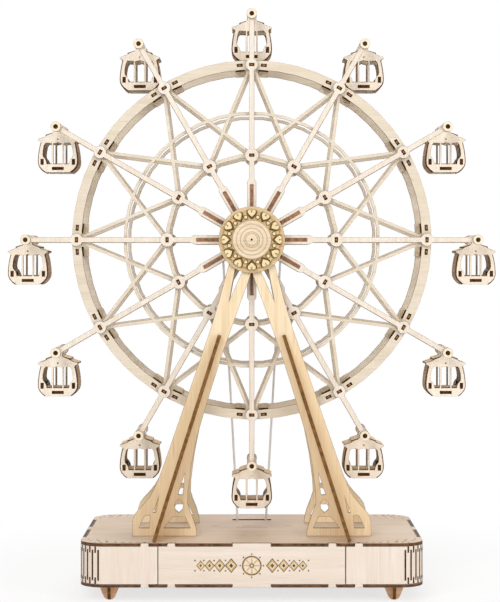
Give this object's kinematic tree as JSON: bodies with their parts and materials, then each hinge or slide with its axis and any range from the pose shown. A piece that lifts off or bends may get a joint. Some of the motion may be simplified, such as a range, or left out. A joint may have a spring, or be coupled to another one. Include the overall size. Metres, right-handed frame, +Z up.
{
  "type": "wooden ferris wheel puzzle",
  "caption": "Plywood ferris wheel with hanging gondolas between two lattice faces, on two A-frames over a low box, turned by a belt and a rear hand crank.",
  "frame": {"origin": "on the ground under the middle of the whole toy's box", "axes": "+Z up, +Y from the front panel to the crank at the rear, along the wheel's axle; +X to the right as seen from the front"},
  "size_m": [0.278, 0.136, 0.3281],
  "materials": {
    "ply_light": "sanded laser cut plywood with browned edges",
    "ply_warm": "sanded plywood, warmer tone",
    "ply_charred": "laser cut plywood, edges in sight",
    "dowel": "turned wood",
    "belt": "pale elastic cord"
  },
  "bodies": {
    "stand": {"base_board": "ply_light", "top_deck": "ply_warm", "front_panel": "ply_light", "rear_panel": "ply_light", "left_end_panel": "ply_light", "right_end_panel": "ply_light", "foot_front_left": "ply_warm", "foot_front_right": "ply_warm", "foot_rear_left": "ply_warm", "foot_rear_right": "ply_warm", "front_left_leg": "ply_light", "front_right_leg": "ply_light", "rear_left_leg": "ply_light", "rear_right_leg": "ply_light", "front_left_leg_rib": "ply_warm", "front_right_leg_rib": "ply_warm", "rear_left_leg_rib": "ply_warm", "rear_right_leg_rib": "ply_warm", "front_bearing_plate": "ply_light", "rear_bearing_plate": "ply_light", "petal_ring": "ply_warm", "hub_cap": "ply_light", "crank_shaft_post": "ply_light", "drive_belt": "belt"},
    "wheel": {"front_spoke_plate": "ply_light", "rear_spoke_plate": "ply_light", "front_lattice": "ply_light", "rear_lattice_with_cross_bars": "ply_light", "hub_spool": "ply_charred", "wheel_axle": "dowel", "hub_pulley": "ply_warm", "gondola_rod_01": "dowel", "gondola_rod_02": "dowel", "gondola_rod_03": "dowel", "gondola_rod_04": "dowel", "gondola_rod_05": "dowel", "gondola_rod_06": "dowel", "gondola_rod_07": "dowel", "gondola_rod_08": "dowel", "gondola_rod_09": "dowel", "gondola_rod_10": "dowel", "gondola_rod_11": "dowel", "gondola_rod_12": "dowel"},
    "gondola_01_body": {"gondola_01": "ply_light"},
    "gondola_02_body": {"gondola_02": "ply_light"},
    "gondola_03_body": {"gondola_03": "ply_light"},
    "gondola_04_body": {"gondola_04": "ply_light"},
    "gondola_05_body": {"gondola_05": "ply_light"},
    "gondola_06_body": {"gondola_06": "ply_light"},
    "gondola_07_body": {"gondola_07": "ply_light"},
    "gondola_08_body": {"gondola_08": "ply_light"},
    "gondola_09_body": {"gondola_09": "ply_light"},
    "gondola_10_body": {"gondola_10": "ply_light"},
    "gondola_11_body": {"gondola_11": "ply_light"},
    "gondola_12_body": {"gondola_12": "ply_light"},
    "crank": {"crank_shaft": "dowel", "drive_pulley": "ply_warm", "crank_arm": "ply_light", "crank_knob": "dowel"}
  },
  "joints": [
    {"name": "wheel_spin", "type": "hinge", "parent": "stand", "child": "wheel", "pos_m": [0, -0.0135, 0.198], "axis": [0, 1, 0], "continuous": true},
    {"name": "gondola_01_swing", "type": "hinge", "parent": "wheel", "child": "gondola_01_body", "pos_m": [0.1272, -0.0135, 0.198], "axis": [0, 1, 0], "continuous": true},
    {"name": "gondola_02_swing", "type": "hinge", "parent": "wheel", "child": "gondola_02_body", "pos_m": [0.11016, -0.0135, 0.2616], "axis": [0, 1, 0], "continuous": true},
    {"name": "gondola_03_swing", "type": "hinge", "parent": "wheel", "child": "gondola_03_body", "pos_m": [0.0636, -0.0135, 0.30816], "axis": [0, 1, 0], "continuous": true},
    {"name": "gondola_04_swing", "type": "hinge", "parent": "wheel", "child": "gondola_04_body", "pos_m": [0, -0.0135, 0.3252], "axis": [0, 1, 0], "continuous": true},
    {"name": "gondola_05_swing", "type": "hinge", "parent": "wheel", "child": "gondola_05_body", "pos_m": [-0.0636, -0.0135, 0.30816], "axis": [0, 1, 0], "continuous": true},
    {"name": "gondola_06_swing", "type": "hinge", "parent": "wheel", "child": "gondola_06_body", "pos_m": [-0.11016, -0.0135, 0.2616], "axis": [0, 1, 0], "continuous": true},
    {"name": "gondola_07_swing", "type": "hinge", "parent": "wheel", "child": "gondola_07_body", "pos_m": [-0.1272, -0.0135, 0.198], "axis": [0, 1, 0], "continuous": true},
    {"name": "gondola_08_swing", "type": "hinge", "parent": "wheel", "child": "gondola_08_body", "pos_m": [-0.11016, -0.0135, 0.1344], "axis": [0, 1, 0], "continuous": true},
    {"name": "gondola_09_swing", "type": "hinge", "parent": "wheel", "child": "gondola_09_body", "pos_m": [-0.0636, -0.0135, 0.08784], "axis": [0, 1, 0], "continuous": true},
    {"name": "gondola_10_swing", "type": "hinge", "parent": "wheel", "child": "gondola_10_body", "pos_m": [0, -0.0135, 0.0708], "axis": [0, 1, 0], "continuous": true},
    {"name": "gondola_11_swing", "type": "hinge", "parent": "wheel", "child": "gondola_11_body", "pos_m": [0.0636, -0.0135, 0.08784], "axis": [0, 1, 0], "continuous": true},
    {"name": "gondola_12_swing", "type": "hinge", "parent": "wheel", "child": "gondola_12_body", "pos_m": [0.11016, -0.0135, 0.1344], "axis": [0, 1, 0], "continuous": true},
    {"name": "crank_turn", "type": "hinge", "parent": "stand", "child": "crank", "pos_m": [0, -0.0135, 0.021], "axis": [0, 1, 0], "continuous": true}
  ],
  "couplings": [
    {"joint": "gondola_01_swing", "follows": "wheel_spin", "ratio": -1},
    {"joint": "gondola_02_swing", "follows": "wheel_spin", "ratio": -1},
    {"joint": "gondola_03_swing", "follows": "wheel_spin", "ratio": -1},
    {"joint": "gondola_04_swing", "follows": "wheel_spin", "ratio": -1},
    {"joint": "gondola_05_swing", "follows": "wheel_spin", "ratio": -1},
    {"joint": "gondola_06_swing", "follows": "wheel_spin", "ratio": -1},
    {"joint": "gondola_07_swing", "follows": "wheel_spin", "ratio": -1},
    {"joint": "gondola_08_swing", "follows": "wheel_spin", "ratio": -1},
    {"joint": "gondola_09_swing", "follows": "wheel_spin", "ratio": -1},
    {"joint": "gondola_10_swing", "follows": "wheel_spin", "ratio": -1},
    {"joint": "gondola_11_swing", "follows": "wheel_spin", "ratio": -1},
    {"joint": "gondola_12_swing", "follows": "wheel_spin", "ratio": -1},
    {"joint": "crank_turn", "follows": "wheel_spin", "ratio": 2.2564}
  ]
}
